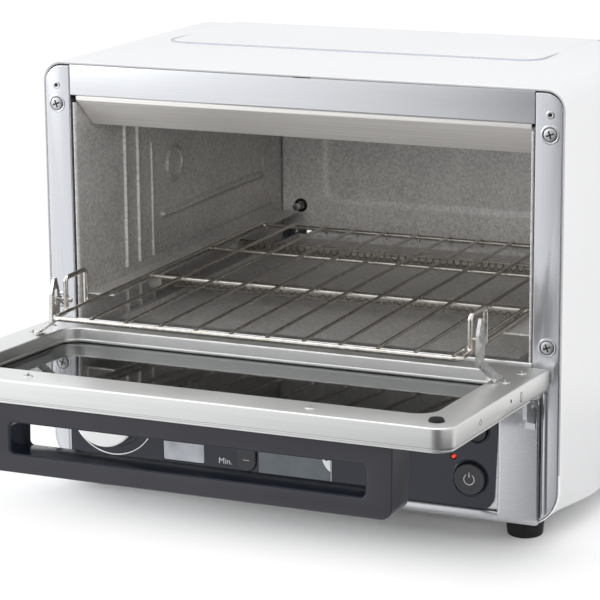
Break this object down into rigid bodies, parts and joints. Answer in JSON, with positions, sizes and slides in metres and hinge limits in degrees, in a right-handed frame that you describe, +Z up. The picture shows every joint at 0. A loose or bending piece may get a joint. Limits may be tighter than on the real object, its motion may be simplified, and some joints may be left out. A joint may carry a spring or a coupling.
{
  "type": "toaster oven",
  "caption": "Compact toaster oven with a drop-down glass door that draws its wire rack forward, a dial, a digital display and push keys on a dark lower panel.",
  "frame": {"origin": "centre of the whole oven's box with the door open, on the ground under the feet", "axes": "+Z up, +X to the right seen from the front, -Y out of the front towards the user"},
  "size_m": [0.332, 0.5028, 0.268],
  "materials": {
    "white_enamel": "smooth white powder-coated sheet",
    "brushed_steel": "fine horizontal brushing",
    "aluminised_steel": "matt, slightly mottled aluminised sheet",
    "zinc_steel": "plain bright zinc-plated steel",
    "chrome_wire": "bright chrome plating",
    "door_glass": "clear toughened glass, slightly tinted",
    "dark_plastic": "satin dark grey moulded plastic",
    "gloss_black": "gloss black plastic",
    "silver_dial": "silver-painted plastic with a bright rim",
    "quartz": "frosted quartz tube with ceramic ends",
    "rubber": "matt black moulded rubber",
    "circuit_green": "green solder resist on glass-fibre board",
    "red_lens": "clear red lens",
    "display_lens": "grey liquid-crystal panel behind a clear lens"
  },
  "bodies": {
    "oven": {"outer_casing": "white_enamel", "front_column_left": "brushed_steel", "front_column_right": "brushed_steel", "front_header": "brushed_steel", "heat_baffle": "brushed_steel", "front_sill": "brushed_steel", "lower_fascia": "brushed_steel", "cavity_wall_left": "aluminised_steel", "cavity_wall_right": "aluminised_steel", "cavity_wall_rear": "aluminised_steel", "cavity_ceiling": "aluminised_steel", "cavity_floor": "aluminised_steel", "rack_rail_left": "aluminised_steel", "rack_rail_right": "aluminised_steel", "rear_cover": "zinc_steel", "base_plate": "zinc_steel", "frame_screw_upper_left": "zinc_steel", "frame_screw_upper_right": "zinc_steel", "frame_screw_lower_left": "zinc_steel", "frame_screw_lower_right": "zinc_steel", "temperature_sensor": "zinc_steel", "dial_bezel": "zinc_steel", "hinge_bracket_left": "zinc_steel", "hinge_bracket_right": "zinc_steel", "hinge_pin_left": "zinc_steel", "hinge_pin_right": "zinc_steel", "dial_encoder": "dark_plastic", "control_panel": "gloss_black", "heater_upper_front": "quartz", "heater_upper_rear": "quartz", "heater_lower_front": "quartz", "heater_lower_rear": "quartz", "foot_front_left": "rubber", "foot_front_right": "rubber", "foot_rear_left": "rubber", "foot_rear_right": "rubber", "cord_gland": "rubber", "control_board": "circuit_green", "power_board": "circuit_green", "led_lens": "red_lens", "lcd_display": "display_lens"},
    "door": {"door_frame": "brushed_steel", "door_glass": "door_glass", "door_outer_trim": "gloss_black", "door_handle": "dark_plastic", "hook_left": "chrome_wire", "hook_right": "chrome_wire", "door_bumper_left": "rubber", "door_bumper_right": "rubber"},
    "rack": {"wire_rack": "chrome_wire"},
    "dial": {"dial_knob": "silver_dial"},
    "power_key": {"power_button": "dark_plastic"},
    "start_key": {"start_button": "dark_plastic"},
    "minus_key": {"minus_button": "dark_plastic"},
    "plus_key": {"plus_button": "dark_plastic"},
    "tray": {"crumb_tray": "aluminised_steel"}
  },
  "joints": [
    {"name": "door_hinge", "type": "hinge", "parent": "oven", "child": "door", "pos_m": [0, -0.09656, 0.098], "axis": [-1, 0, 0], "range_deg": [0, 87.4]},
    {"name": "rack_slide", "type": "slide", "parent": "oven", "child": "rack", "axis": [0, 1, 0], "range_m": [0, 0.0633]},
    {"name": "dial_turn", "type": "hinge", "parent": "oven", "child": "dial", "pos_m": [-0.123, -0.08256, 0.0545], "axis": [0, -1, 0], "continuous": true},
    {"name": "power_press", "type": "slide", "parent": "oven", "child": "power_key", "axis": [0, 1, 0], "range_m": [0, 0.0015], "stiffness_N_per_m": 300},
    {"name": "start_press", "type": "slide", "parent": "oven", "child": "start_key", "axis": [0, 1, 0], "range_m": [0, 0.0015], "stiffness_N_per_m": 300},
    {"name": "minus_press", "type": "slide", "parent": "oven", "child": "minus_key", "axis": [0, 1, 0], "range_m": [0, 0.0015], "stiffness_N_per_m": 300},
    {"name": "plus_press", "type": "slide", "parent": "oven", "child": "plus_key", "axis": [0, 1, 0], "range_m": [0, 0.0015], "stiffness_N_per_m": 300},
    {"name": "tray_slide", "type": "slide", "parent": "oven", "child": "tray", "axis": [0, 1, 0], "range_m": [0, 0.2]}
  ],
  "couplings": [
    {"joint": "rack_slide", "follows": "door_hinge", "m_per_rad": 0.041431}
  ]
}
